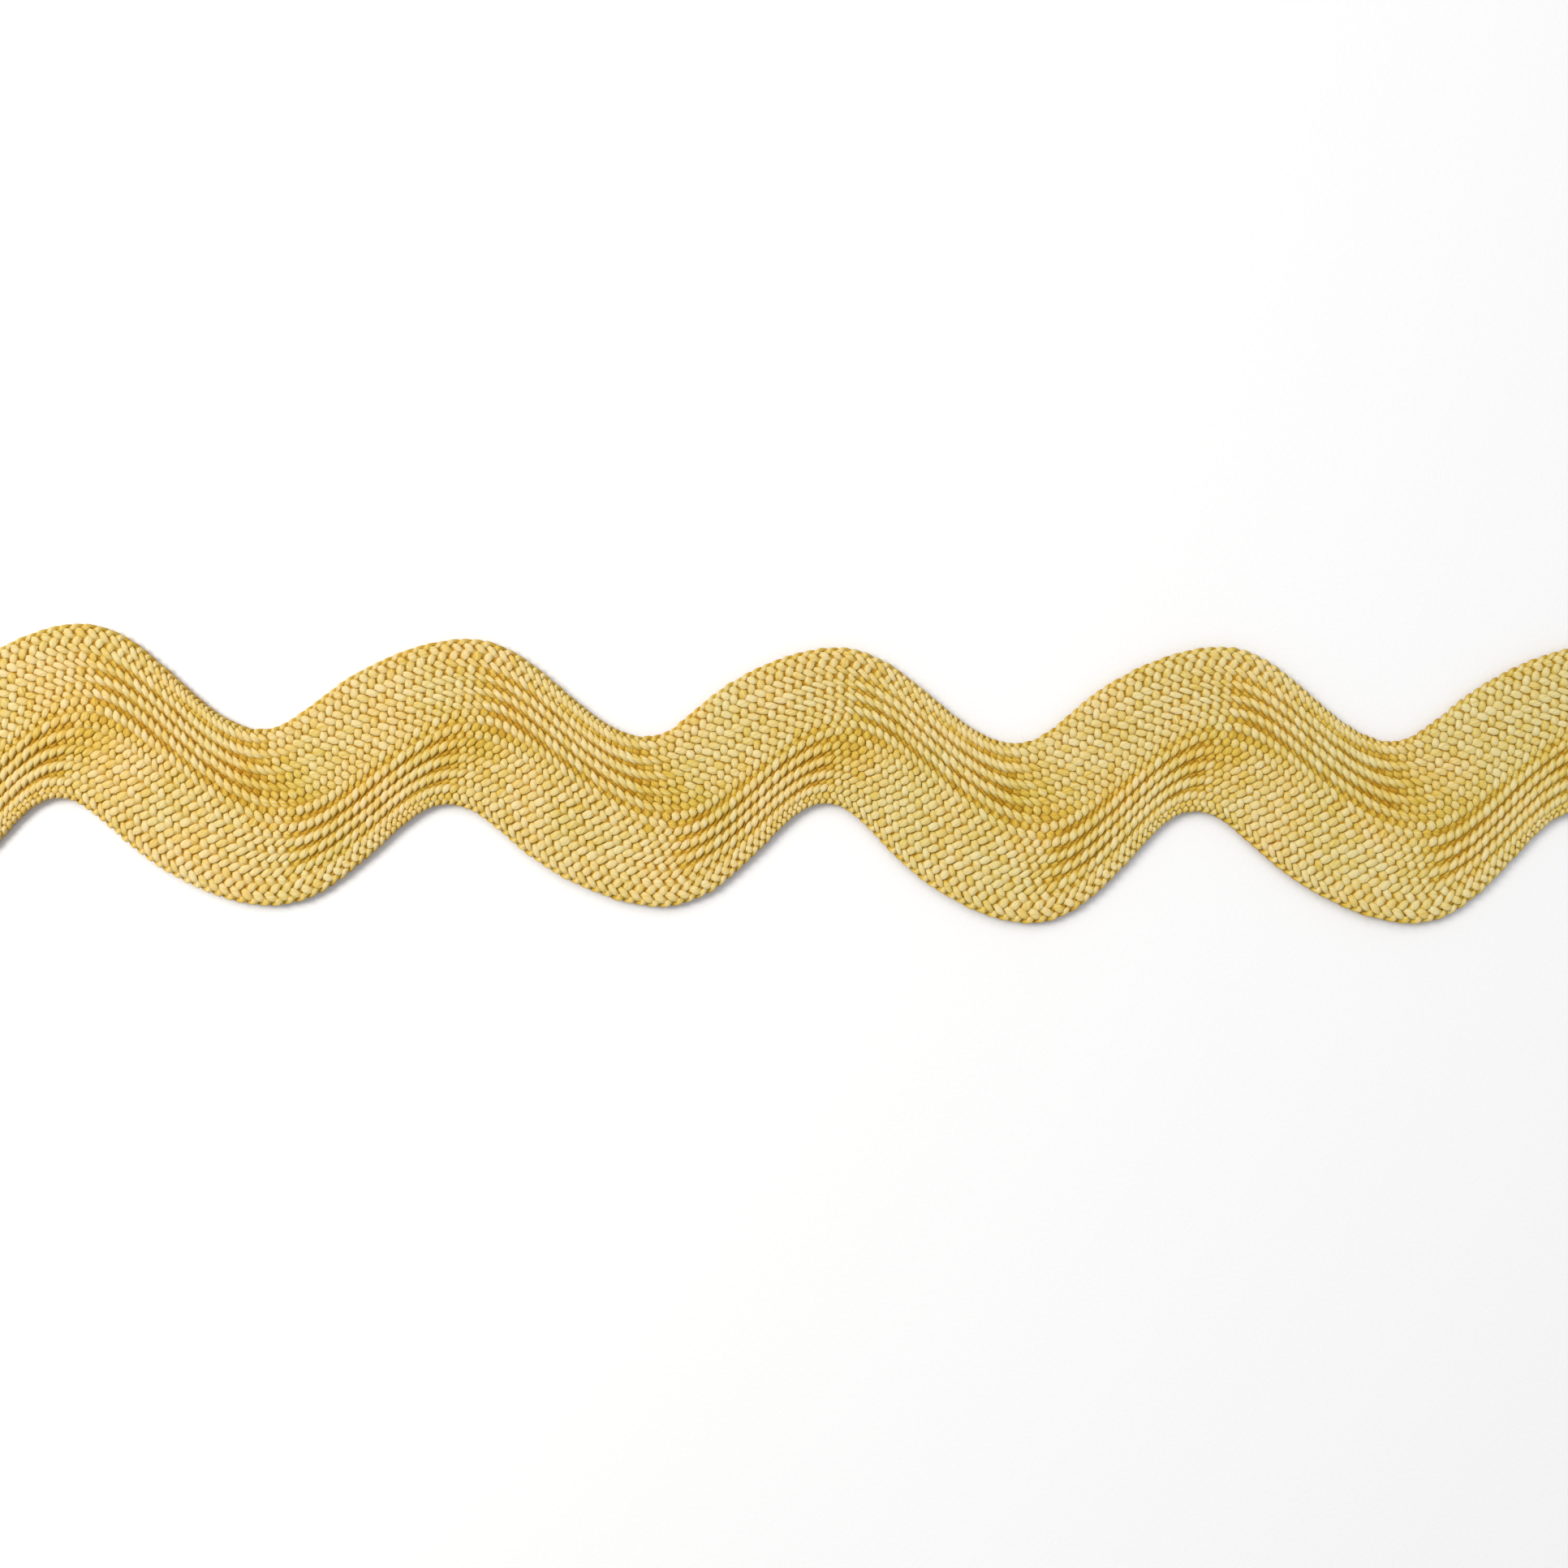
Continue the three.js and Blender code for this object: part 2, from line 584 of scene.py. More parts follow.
    def sample(self, rings: int) -> YarnPaths:
        """Sample every yarn from cut to cut.

        Args:
            rings: the number of samples along each yarn.

        Returns:
            The middle line, half sizes, depth for the painted shade and tone of every yarn.
        """
        random = np.random.default_rng(self.seed)
        uneven = self.uneven
        first, last = self.ends(random)
        share = np.linspace(0.0, 1.0, rings)[None, :]
        step = first[:, None] + (last - first)[:, None] * share
        yarn = np.arange(self.columns)[:, None] + np.zeros_like(step)
        line = self.trace(yarn, step)
        heading = headings(line.flat)
        column, _ = self.column_and_side(step + 2.0 * yarn)
        across = self.share(column)

        def wander(span: float) -> Floats:
            """New smooth random values for all samples."""
            return uneven.wander(random, step, span, self.rows.count)

        half_width = 0.5 * self.fill * self.spacing(step, across, heading)
        half_width = np.clip(half_width, *self.half_width_range)
        squeezed = 1.0 - self.crossing_squeeze * (1.0 - np.abs(line.level))
        half_width *= squeezed * (1.0 + uneven.width * wander(uneven.span))
        half_width *= 1.0 + self.ridge_width * np.maximum(line.gain, 0.0)
        half_height = self.yarn_half_height * (1.0 + uneven.height * wander(uneven.span))
        stray = uneven.stray * wander(uneven.stray_span)
        flat = line.flat + leftwards(heading) * stray[..., None]
        middle = line.height + 0.5 * uneven.stray * wander(uneven.span)
        middle = np.maximum(middle, half_height)
        points = np.concatenate([flat, middle[..., None]], axis=-1)
        strides = np.linalg.norm(np.diff(points, axis=1), axis=-1)
        travelled = np.concatenate([np.zeros((self.columns, 1)), np.cumsum(strides, axis=1)], axis=1)
        tone = uneven.tone_along * wander(uneven.span)
        tone = tone + uneven.tone_of_yarn * random.normal(0, 1, (self.columns, 1))
        LOG.info("%d yarns of up to %.0f mm", self.columns, float(travelled.max()))
        depth = self.depth(line, across)
        return YarnPaths(points, half_width, half_height, depth, tone, travelled)


def mesh_object(name: str, mesh: bpy.types.Mesh) -> bpy.types.Object:
    """Link a mesh to the scene as an object that stays at the origin.

    Args:
        name: the name of the object.
        mesh: its mesh, in metres.

    Returns:
        The object.
    """
    piece = bpy.data.objects.new(name, mesh)
    bpy.context.scene.collection.objects.link(piece)
    return piece


def set_points(mesh: bpy.types.Mesh, points: Floats) -> None:
    """Place a mesh's vertices, given in millimetres."""
    mesh.vertices.foreach_set("co", (points * METRES_PER_MM).astype(np.float32).ravel())
    mesh.update()


def set_values(mesh: bpy.types.Mesh, name: str, values: Floats) -> None:
    """Give each vertex a number under a name that materials can read."""
    layer = mesh.attributes.new(name, "FLOAT", "POINT")
    layer.data.foreach_set("value", values.astype(np.float32).ravel())


@dataclass
class StraightTubes:
    """A row of straight closed tubes of unit length, ready to be bent along paths."""

    count: int
    rings: int
    sides: int
    spacing: float = 4.0

    def make(self, name: str) -> bpy.types.Mesh:
        """Make the tubes along x, one beside the other along y, with a radius of 1.

        Args:
            name: the name of the mesh.

        Returns:
            The mesh of all tubes, with smooth sides and flat caps.
        """
        form = bmesh.new()
        lying = Matrix.Rotation(math.pi / 2, 4, "Y")
        for tube in range(self.count):
            bmesh.ops.create_cone(
                form,
                cap_ends=True,
                segments=self.sides,
                radius1=1.0,
                radius2=1.0,
                depth=1.0,
                matrix=Matrix.Translation((0.5, tube * self.spacing, 0.0)) @ lying,
            )
        long_edges = [
            edge for edge in form.edges if abs(edge.verts[0].co.x - edge.verts[1].co.x) > 0.5
        ]
        bmesh.ops.subdivide_edges(form, edges=long_edges, cuts=self.rings - 2, use_grid_fill=True)
        mesh = bpy.data.meshes.new(name)
        form.to_mesh(mesh)
        form.free()
        for face in mesh.polygons:
            face.use_smooth = len(face.vertices) == 4
        return mesh

    def read(self, mesh: bpy.types.Mesh) -> tuple[Floats, Floats, Floats]:
        """Read which tube, which ring and what angle each vertex belongs to.

        Args:
            mesh: the straight tubes.

        Returns:
            The tube's number, the ring's number and the angle round the tube.
        """
        corners = np.empty(len(mesh.vertices) * 3, dtype=np.float32)
        mesh.vertices.foreach_get("co", corners)
        corners = corners.reshape(-1, 3)
        tube = np.rint(corners[:, 1] / self.spacing).astype(int)
        ring = np.rint(corners[:, 0] * (self.rings - 1)).astype(int)
        angle = np.arctan2(corners[:, 2], corners[:, 1] - tube * self.spacing)
        return tube, ring, angle


# Shares of a turn by which the unwrapping finds the faces that cross the seam of a tube.
SEAM_END = 0.999
LATE_TURN = 0.7
EARLY_TURN = 0.2


def wrap_uv(mesh: bpy.types.Mesh, angle: Floats, along: Floats) -> None:
    """Unwrap tubes: the share of a turn, from underneath, across, and the length along.

    Args:
        mesh: the tubes.
        angle: the angle of each vertex round its tube.
        along: the length that each vertex lies along its tube.
    """
    corner_vertex = np.empty(len(mesh.loops), dtype=np.int32)
    mesh.loops.foreach_get("vertex_index", corner_vertex)
    starts = np.empty(len(mesh.polygons), dtype=np.int32)
    mesh.polygons.foreach_get("loop_start", starts)
    turn = ((angle + np.pi / 2) / (2 * np.pi)) % 1.0
    turn[turn > SEAM_END] = 0.0
    across = turn[corner_vertex]
    face = np.repeat(np.arange(len(starts)), np.diff(np.append(starts, len(corner_vertex))))
    highest = np.maximum.reduceat(across, starts)[face]
    wraps = (highest > LATE_TURN) & (across < EARLY_TURN)
    across = np.where(wraps, across + 1.0, across)
    layer = mesh.uv_layers.new(name="yarn")
    uv = np.stack([across, along[corner_vertex]], axis=-1)
    layer.data.foreach_set("uv", uv.astype(np.float32).ravel())


@dataclass
class YarnSkins:
    """The yarns as closed tubes, parted into a few pieces.

    The degrees are the angles of a tube's corners, from the left round over the top. The
    powers of the flatness make the top and the flanks of a yarn broader than an ellipse's.
    """

    paths: YarnPaths
    pieces: int = 5
    degrees: tuple[float, ...] = (-22, 26, 62, 90, 118, 154, 202, 270)
    flatness: float = 0.45
    top_flatness: float = 0.55
    flank_shade: float = 0.5
    flank_power: float = 1.3

    def build(self) -> list[bpy.types.Object]:
        """Bend straight tubes along the yarns.

        Returns:
            The pieces, with the yarns shared out in order.
        """
        yarns = len(self.paths.half_width)
        sideways = leftwards(headings(self.paths.points))
        groups = np.array_split(np.arange(yarns), self.pieces)
        return [
            self.skin(f"yarns_{number}", group, sideways)
            for number, group in enumerate(groups, start=1)
        ]

    def skin(self, name: str, group: Floats, sideways: Floats) -> bpy.types.Object:
        """Make one piece.

        Args:
            name: the name of the piece.
            group: the numbers of the yarns in it.
            sideways: the level direction square to each yarn, at each ring.

        Returns:
            The piece, with the depth for its painted shade and the tone that its material reads.
        """
        rings = self.paths.half_width.shape[1]
        corners = len(self.degrees)
        tubes = StraightTubes(len(group), rings, corners)
        mesh = tubes.make(name)
        tube, ring, even_angle = tubes.read(mesh)
        corner = np.rint(even_angle * corners / (2 * np.pi)).astype(int)
        angle = np.radians(self.degrees)[corner % corners]
        key = (group[tube], ring)
        points = self.paths.points[key].copy()
        cosine = np.cos(angle)
        out = np.sign(cosine) * np.abs(cosine) ** self.flatness * self.paths.half_width[key]
        sine = np.sin(angle)
        up = np.sign(sine) * np.abs(sine) ** self.top_flatness * self.paths.half_height[key]
        points[:, :2] += sideways[key] * out[:, None]
        points[:, 2] += up
        set_points(mesh, points)
        # Painted shade: the flanks and the underside of each yarn are darker than its top.
        off_top = 1.0 - np.clip(sine, 0.0, 1.0)
        depth = self.paths.depth[key] + self.flank_shade * off_top**self.flank_power
        set_values(mesh, "depth", depth)
        set_values(mesh, "tone", self.paths.tone[key])
        wrap_uv(mesh, angle, self.paths.travelled[key])
        return mesh_object(name, mesh)


@dataclass
class GroundLayer:
    """The layer of packed fibre between the two faces of the plait."""

    course: Course
    bottom: float = 0.3
    top: float = 0.92
    inset: float = 0.025
    steps: int = 240
    lanes: int = 12

    def build(self) -> bpy.types.Object:
        """Bend a flat grid along the course and give it its thickness.

        Returns:
            The layer as one closed piece.
        """
        form = bmesh.new()
        bmesh.ops.create_grid(form, x_segments=self.steps, y_segments=self.lanes, size=0.5)
        corners = np.array([vertex.co for vertex in form.verts])
        phase = (corners[:, 0] + 0.5) * self.course.flanks
        share = self.inset + (corners[:, 1] + 0.5) * (1 - 2 * self.inset)
        flat = self.course.place(phase, share) * METRES_PER_MM
        for vertex, (x, y) in zip(form.verts, flat):
            vertex.co = (x, y, self.top * METRES_PER_MM)
        bmesh.ops.recalc_face_normals(form, faces=form.faces)
        if form.faces[0].normal.z < 0:
            bmesh.ops.reverse_faces(form, faces=form.faces)
        thickness = (self.top - self.bottom) * METRES_PER_MM
        bmesh.ops.solidify(form, geom=form.faces[:], thickness=thickness)
        bmesh.ops.recalc_face_normals(form, faces=form.faces)
        mesh = bpy.data.meshes.new("ground_layer")
        form.to_mesh(mesh)
        form.free()
        # Painted shade: the layer shows only in the gaps, so it takes the full crevice shade.
        set_values(mesh, "depth", np.ones(len(mesh.vertices)))
        set_values(mesh, "tone", np.zeros(len(mesh.vertices)))
        mesh.uv_layers.new(name="yarn")
        return mesh_object("ground_layer", mesh)


@dataclass
class LooseFibres:
    """Fine fibres that stand off the yarns at the edges, the face and the cut ends.

    Lengths, bands and the radius are in millimetres. The rises and the push turn a fibre's
    chance direction up from an edge, up from the face and out of a cut, and the stretches
    make fibres longer there.
    """

    paths: YarnPaths
    course: Course
    edge_count: int = 1500
    face_count: int = 500
    end_count: int = 160
    edge_samples: int = 800
    edge_band: float = 0.75
    end_band: float = 1.2
    face_bottom: float = 0.9
    scatter: float = 0.55
    edge_rise: float = 0.15
    face_rise: float = 0.5
    end_push: float = 1.6
    lengths: tuple[float, float] = (0.15, 0.5)
    edge_stretch: tuple[float, float] = (0.8, 1.5)
    end_stretch: float = 1.5
    root_share: float = 0.5
    curl: float = 0.45
    droop: float = 0.35
    taper: float = 0.6
    depth: float = 0.25
    rings: int = 6
    sides: int = 3
    radius: float = 0.009
    seed: int = 21

    def roots(self, random: np.random.Generator) -> tuple[Floats, Floats, Floats]:
        """Choose where fibres start, which way they point and how long they are.

        Args:
            random: the source of chance.

        Returns:
            Root points, directions and lengths.
        """
        points = self.paths.points.reshape(-1, 3)
        width = self.paths.half_width.reshape(-1)
        height = self.paths.half_height.reshape(-1)
        phases = np.linspace(0, self.course.flanks, self.edge_samples)
        near = self.course.edge_point(Edge.NEAR, phases)
        far = self.course.edge_point(Edge.FAR, phases)
        low = np.interp(points[:, 0], near[:, 0], near[:, 1])
        high = np.interp(points[:, 0], far[:, 0], far[:, 1])
        to_near = points[:, 1] - low
        to_far = high - points[:, 1]
        at_near = np.flatnonzero(to_near < self.edge_band)
        at_far = np.flatnonzero(to_far < self.edge_band)
        outer = random.choice(np.concatenate([at_near, at_far]), self.edge_count)
        face = random.choice(np.flatnonzero(points[:, 2] > self.face_bottom), self.face_count)
        at_first_cut = points[:, 0] < points[:, 0].min() + self.end_band
        at_last_cut = points[:, 0] > points[:, 0].max() - self.end_band
        cut = random.choice(np.flatnonzero(at_first_cut | at_last_cut), self.end_count)
        chosen = np.concatenate([outer, face, cut])
        way = random.normal(0.0, self.scatter, (len(chosen), 3))
        outward = np.where(to_near[outer] < to_far[outer], -1.0, 1.0)
        way[: len(outer), 1] += outward
        way[: len(outer), 2] += self.edge_rise
        way[len(outer) : len(outer) + len(face), 2] += self.face_rise
        way[-len(cut) :, 0] += self.end_push * np.sign(points[cut, 0])
        way /= np.linalg.norm(way, axis=1, keepdims=True)
        length = random.uniform(*self.lengths, len(chosen))
        length[: len(outer)] *= random.uniform(*self.edge_stretch, len(outer))
        length[-len(cut) :] *= self.end_stretch
        root = points[chosen].copy()
        root[:, 2] += self.root_share * height[chosen]
        root[:, :2] += way[:, :2] * self.root_share * width[chosen][:, None]
        return root, way, length

    def build(self) -> bpy.types.Object:
        """Bend thin straight tubes into curved fibres.

        Returns:
            All fibres as one piece.
        """
        random = np.random.default_rng(self.seed)
        root, way, length = self.roots(random)
        count = len(length)
        tubes = StraightTubes(count, self.rings, self.sides)
        mesh = tubes.make("loose_fibres")
        tube, ring, angle = tubes.read(mesh)
        share = ring / (self.rings - 1)
        curl = random.normal(0.0, self.curl, (count, 3))
        curl[:, 2] -= self.droop
        line = root[tube] + way[tube] * (length[tube] * share)[:, None]
        line += curl[tube] * (length[tube] * share**2)[:, None]
        side = np.cross(way, [0.0, 0.0, 1.0])
        side /= np.maximum(np.linalg.norm(side, axis=1, keepdims=True), 1e-6)
        up = np.cross(side, way)
        size = self.radius * (1.0 - self.taper * share)
        points = line - side[tube] * (np.cos(angle) * size)[:, None]
        points += up[tube] * (np.sin(angle) * size)[:, None]
        points[:, 2] = np.maximum(points[:, 2], self.radius)
        set_points(mesh, points)
        set_values(mesh, "depth", np.full(len(points), self.depth))
        set_values(mesh, "tone", np.zeros(len(points)))
        wrap_uv(mesh, angle, share)
        return mesh_object("loose_fibres", mesh)


def linear(red: int, green: int, blue: int) -> Colour:
    """A colour as seen on a screen, turned to the linear values that shaders use.

    Args:
        red: the red channel, from 0 to 255.
        green: the green channel.
        blue: the blue channel.

    Returns:
        The colour with full cover.
    """
    knee, slope, offset, power = 0.04045, 12.92, 0.055, 2.4
    values = [channel / 255 for channel in (red, green, blue)]
    curved = [v / slope if v <= knee else ((v + offset) / (1 + offset)) ** power for v in values]
    return (*curved, 1.0)


class Wiring:
    """Short calls for placing and joining nodes in a tree."""

    def __init__(self, tree: bpy.types.NodeTree) -> None:
        """Start on an empty tree."""
        self.tree = tree
        tree.nodes.clear()

    def node(self, kind: str, **settings: object) -> bpy.types.Node:
        """Add a node and set its options.

        Args:
            kind: the type of the node.
            **settings: its options by name.

        Returns:
            The node.
        """
        made = self.tree.nodes.new(kind)
        for name, value in settings.items():
            setattr(made, name, value)
        return made

    def join(self, source: Socket, target: Socket) -> None:
        """Link an output to an input."""
        self.tree.links.new(source, target)

    def math(self, operation: str, *inputs: Socket | float) -> Socket:
        """Add a math node fed by sockets and numbers.

        Args:
            operation: what the node works out.
            *inputs: its inputs in order.

        Returns:
            The result.
        """
        made = self.node("ShaderNodeMath", operation=operation)
        for slot, value in zip(made.inputs, inputs):
            if isinstance(value, Socket):
                self.join(value, slot)
            else:
                slot.default_value = value
        return made.outputs[0]

    def blend(self, share: Socket, first: Socket, second: Socket) -> Socket:
        """Mix two colours by a share.

        Args:
            share: 0 for the first colour and 1 for the second.
            first: the first colour.
            second: the second colour.

        Returns:
            The mixed colour.
        """
        made = self.node("ShaderNodeMix", data_type="RGBA", clamp_factor=True)
        self.join(share, made.inputs[0])
        self.join(first, made.inputs[MIX_FIRST])
        self.join(second, made.inputs[MIX_SECOND])
        return made.outputs[MIX_RESULT]


@dataclass(frozen=True)
class PliedYarn:
    """The shared effect that gives soft plied yarn its colour and its relief.

    The shade is painted: it runs from 0 on the crowns of the yarns, painted as highlights, to
    1 and more in the crevices, painted dark as shade.
    """

    fibre_across: float = 22.0
    fibre_along: float = 1.1
    fibre_detail: float = 2.0
    fibre_relief: float = 0.9
    fibre_shade: float = 1.2
    ply_relief: float = 0.25
    ply_shade: float = 0.1
    body_start: float = 0.3
    body_rate: float = 1.7
    crevice_start: float = 0.4
    crevice_rate: float = 1.5
    patch_scale: float = 190.0
    patch_detail: float = 3.0
    patch_roughness: float = 0.6
    patch_contrast: float = 2.6
    # The lean along the braid is painted warm light: golden at the left end, olive at the right.
    olive_middle: float = 0.55
    olive_along: float = 5.0

    def group(self) -> bpy.types.NodeTree:
        """Make the node group.

        Returns:
            A group with the colours of the crowns' painted highlight, the body and the crevices'
            painted shade, two tints, the depth, the tone and the make of the yarn going in, and the
            colour and the height of the strands coming out.
        """
        tree = bpy.data.node_groups.new("plied_yarn", "ShaderNodeTree")
        sockets = tree.interface
        for name in ("Crown", "Body", "Crevice", "Golden", "Olive"):
            sockets.new_socket(name, in_out="INPUT", socket_type="NodeSocketColor")
        for name in ("Depth", "Tone", "Strands", "Twist", "Fleck"):
            sockets.new_socket(name, in_out="INPUT", socket_type="NodeSocketFloat")
        sockets.new_socket("Color", in_out="OUTPUT", socket_type="NodeSocketColor")
        sockets.new_socket("Height", in_out="OUTPUT", socket_type="NodeSocketFloat")
        wires = Wiring(tree)
        given = wires.node("NodeGroupInput").outputs
        ply, fibre = self.strands(wires, given)
        strand_height = wires.math("MULTIPLY", ply, self.ply_relief)
        height = wires.math("MULTIPLY_ADD", fibre, self.fibre_relief, strand_height)
        shade = self.shade(wires, given, ply, fibre)
        colour = self.painted_shade_and_tint(wires, given, shade)
        result = wires.node("NodeGroupOutput").inputs
        wires.join(colour, result["Color"])
        wires.join(height, result["Height"])
        return tree

    def strands(self, wires: Wiring, given: bpy.types.NodeOutputs) -> tuple[Socket, Socket]:
        """The strands twisted round each other, and the noise of the fibres along them.

        Args:
            wires: the tree to add to.
            given: the inputs of the group.

        Returns:
            The height of the strands and the noise of the fibres, both from 0 to 1.
        """
        uv = wires.node("ShaderNodeUVMap", uv_map="yarn")
        parts = wires.node("ShaderNodeSeparateXYZ")
        wires.join(uv.outputs["UV"], parts.inputs[0])
        turned = wires.math("MULTIPLY_ADD", parts.outputs[1], given["Twist"], parts.outputs[0])
        turns = wires.math("MULTIPLY", turned, given["Strands"])
        angle = wires.math("MULTIPLY", turns, 2 * math.pi)
        ply = wires.math("MULTIPLY_ADD", wires.math("SINE", angle), 0.5, 0.5)
        stretched = wires.node("ShaderNodeCombineXYZ")
        wires.join(wires.math("MULTIPLY", turned, self.fibre_across), stretched.inputs[0])
        wires.join(wires.math("MULTIPLY", parts.outputs[1], self.fibre_along), stretched.inputs[1])
        wires.join(given["Tone"], stretched.inputs[2])
        fibre = wires.node("ShaderNodeTexNoise", noise_dimensions="3D")
        fibre.inputs["Scale"].default_value = 1.0
        fibre.inputs["Detail"].default_value = self.fibre_detail
        wires.join(stretched.outputs[0], fibre.inputs["Vector"])
        return ply, fibre.outputs[0]

    def shade(
        self, wires: Wiring, given: bpy.types.NodeOutputs, ply: Socket, fibre: Socket
    ) -> Socket:
        """How much painted shade the yarn gets at a point.

        Args:
            wires: the tree to add to.
            given: the inputs of the group.
            ply: the height of the strands, from 0 to 1.
            fibre: the noise of the fibres, from 0 to 1.

        Returns:
            The depth that sets the painted shade, varied by fibres, strands and the tone of the
            yarn.
        """
        off_fibre = wires.math("SUBTRACT", fibre, 0.5)
        shade = wires.math("MULTIPLY_ADD", off_fibre, self.fibre_shade, given["Depth"])
        off_ply = wires.math("SUBTRACT", 0.5, ply)
        shade = wires.math("MULTIPLY_ADD", off_ply, self.ply_shade, shade)
        fleck = wires.math("MULTIPLY", given["Fleck"], -1.0)
        return wires.math("MULTIPLY_ADD", given["Tone"], fleck, shade)

    def painted_shade_and_tint(self, wires: Wiring, given: bpy.types.NodeOutputs, shade: Socket) -> Socket:
        """The colour for a painted shade, from the painted highlight of the crowns to the painted
        shade of the crevices, with patches that lean golden or olive and a painted warm light
        that leans golden at the left end.

        Args:
            wires: the tree to add to.
            given: the inputs of the group.
            shade: how dark the yarn is.

        Returns:
            The colour.
        """
        # Painted highlight on the crowns, the body colour, then painted shade in the crevices.
        upper_share = wires.math("MULTIPLY_ADD", shade, self.body_rate, self.body_start)
        upper = wires.blend(upper_share, given["Crown"], given["Body"])
        past_start = wires.math("SUBTRACT", shade, self.crevice_start)
        lower_share = wires.math("MULTIPLY", past_start, self.crevice_rate)
        colour = wires.blend(lower_share, upper, given["Crevice"])
        place = wires.node("ShaderNodeTexCoord").outputs["Object"]
        patches = wires.node("ShaderNodeTexNoise", noise_dimensions="3D")
        patches.inputs["Scale"].default_value = self.patch_scale
        patches.inputs["Detail"].default_value = self.patch_detail
        patches.inputs["Roughness"].default_value = self.patch_roughness
        wires.join(place, patches.inputs["Vector"])
        parts = wires.node("ShaderNodeSeparateXYZ")
        wires.join(place, parts.inputs[0])
        # Painted warm light: the tint leans golden towards the left end and olive towards the right.
        lean = wires.math("MULTIPLY_ADD", parts.outputs[0], self.olive_along, self.olive_middle)
        off_patch = wires.math("SUBTRACT", patches.outputs[0], 0.5)
        hue = wires.math("MULTIPLY_ADD", off_patch, self.patch_contrast, lean)
        tint = wires.blend(hue, given["Golden"], given["Olive"])
        made = wires.node("ShaderNodeMix", data_type="RGBA", blend_type="MULTIPLY")
        made.inputs[0].default_value = 1.0
        wires.join(colour, made.inputs[MIX_FIRST])
        wires.join(tint, made.inputs[MIX_SECOND])
        return made.outputs[MIX_RESULT]


@dataclass(frozen=True)
class YarnFinish:
    """Matt cotton yarn in a golden straw colour."""

    name: str
    # The crown is the painted highlight on the tops of the yarns and the crevice the painted shade
    # between them.
    crown: Colour = linear(217, 200, 154)
    body: Colour = linear(204, 173, 72)
    crevice: Colour = linear(168, 120, 0)
    # The golden and olive tints colour random patches and, along the braid, a painted warm light at
    # the left end.
    golden: Colour = (1.0, 0.955, 0.86, 1.0)
    olive: Colour = (0.93, 0.97, 0.88, 1.0)
    strands: float = 7.0
    twist: float = 0.22
    fleck: float = 0.2
    bump: float = 0.55
    bump_metres: float = 0.00006
    roughness: float = 0.72
    sheen: float = 0.08
    sheen_roughness: float = 0.5
    specular: float = 0.2

    def material(self, group: bpy.types.NodeTree) -> bpy.types.Material:
        """Make the material around the shared yarn effect.

        Args:
            group: the node group of the effect.

        Returns:
            The material.
        """
        made = bpy.data.materials.new(self.name)
        made.use_nodes = True
        wires = Wiring(made.node_tree)
        effect = wires.node("ShaderNodeGroup", node_tree=group)
        effect.inputs["Crown"].default_value = self.crown
        effect.inputs["Body"].default_value = self.body
        effect.inputs["Crevice"].default_value = self.crevice
        effect.inputs["Golden"].default_value = self.golden
        effect.inputs["Olive"].default_value = self.olive
        effect.inputs["Strands"].default_value = self.strands
        effect.inputs["Twist"].default_value = self.twist
        effect.inputs["Fleck"].default_value = self.fleck
        for name in ("Depth", "Tone"):
            value = wires.node("ShaderNodeAttribute", attribute_name=name.lower())
            wires.join(value.outputs["Fac"], effect.inputs[name])
        relief = wires.node("ShaderNodeBump")
        relief.inputs["Strength"].default_value = self.bump
        relief.inputs["Distance"].default_value = self.bump_metres
        wires.join(effect.outputs["Height"], relief.inputs["Height"])
        shader = wires.node("ShaderNodeBsdfPrincipled")
        shader.inputs["Roughness"].default_value = self.roughness
        shader.inputs["Sheen Weight"].default_value = self.sheen
        shader.inputs["Sheen Roughness"].default_value = self.sheen_roughness
        shader.inputs["Specular IOR Level"].default_value = self.specular
        wires.join(effect.outputs["Color"], shader.inputs["Base Color"])
        wires.join(relief.outputs["Normal"], shader.inputs["Normal"])
        result = wires.node("ShaderNodeOutputMaterial")
        wires.join(shader.outputs[0], result.inputs["Surface"])
        return made


@dataclass
class Braid:
    """The whole braid: its yarns, its inner layer and its loose fibres.

    The width and the length are those of the tape pulled straight, in millimetres.
    """

    course: Course = field(default_factory=Course)
    rings: int = 1200
    width: float = 14.2
    length: float = 207.5

    def build(self) -> None:
        """Make and dress every piece of the braid, attach it to its body and hide the imported
        solid.
        """
        paths = Plait(self.course, Rows(self.course)).sample(self.rings)
        yarns = YarnSkins(paths).build()
        ground = GroundLayer(self.course).build()
        fibres = LooseFibres(paths, self.course).build()
        group = PliedYarn().group()
        plied = YarnFinish("straw_yarn").material(group)
        # The packed layer shows only in the gaps: its darker crown is painted shade.
        packed = YarnFinish("packed_yarn_in_shade", crown=linear(184, 142, 46), bump=0.2).material(group)
        wisps = YarnFinish("yarn_wisps", bump=0.1, sheen=0.4).material(group)
        for piece, finish in [*[(yarn, plied) for yarn in yarns], (ground, packed), (fibres, wisps)]:
            piece.data.materials.append(finish)
            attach(piece, BODY)
            LOG.info("%s has %d faces", piece.name, len(piece.data.polygons))
        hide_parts(BRAID_NODE)


def hang_light(light: bpy.types.Light, place: Place) -> None:
    """Add a light to the scene so that it faces the middle of the braid.

    Args:
        light: the light.
        place: where it hangs, in metres.
    """
    holder = bpy.data.objects.new(light.name, light)
    holder.location = place
    holder.rotation_euler = Vector(place).to_track_quat("Z", "Y").to_euler()
    bpy.context.scene.collection.objects.link(holder)


@dataclass(frozen=True)
class SoftLamp:
    """A square lamp. Places and sizes are in metres."""

    name: str
    place: Place
    size: float
    watts: float
    colour: tuple[float, float, float]

    def hang(self) -> None:
        """Add the lamp to the scene."""
        light = bpy.data.lights.new(self.name, "AREA")
        light.shape = "SQUARE"
        light.size = self.size
        light.energy = self.watts
        light.color = self.colour
        hang_light(light, self.place)


